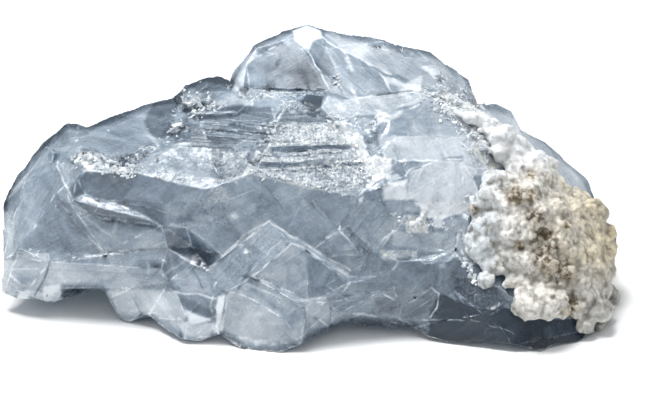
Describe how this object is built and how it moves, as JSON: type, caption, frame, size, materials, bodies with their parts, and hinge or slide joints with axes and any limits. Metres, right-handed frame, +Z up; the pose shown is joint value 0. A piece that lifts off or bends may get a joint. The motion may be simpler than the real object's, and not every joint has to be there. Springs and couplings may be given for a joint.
{
  "type": "celestite crystal cluster",
  "caption": "Hand specimen of celestite: pale blue cleaved crystals grown together into one mass, lying on a flat break, with a white sugary crust over one end.",
  "frame": {"origin": "middle of the footprint, on the surface that the specimen rests on", "axes": "+X along the specimen towards the crusted end, +Z up, -Y towards the viewer of the display side"},
  "size_m": [0.0932, 0.051, 0.0356],
  "materials": {
    "celestite": "clear to milky pale blue crystal with glassy cleavage faces, frosted and finely stepped in places",
    "crust": "white to cream sugary crystal grains, stained brown in the pits"
  },
  "bodies": {
    "root": {"celestite_crystals": "celestite", "granular_crust": "crust"}
  },
  "joints": []
}
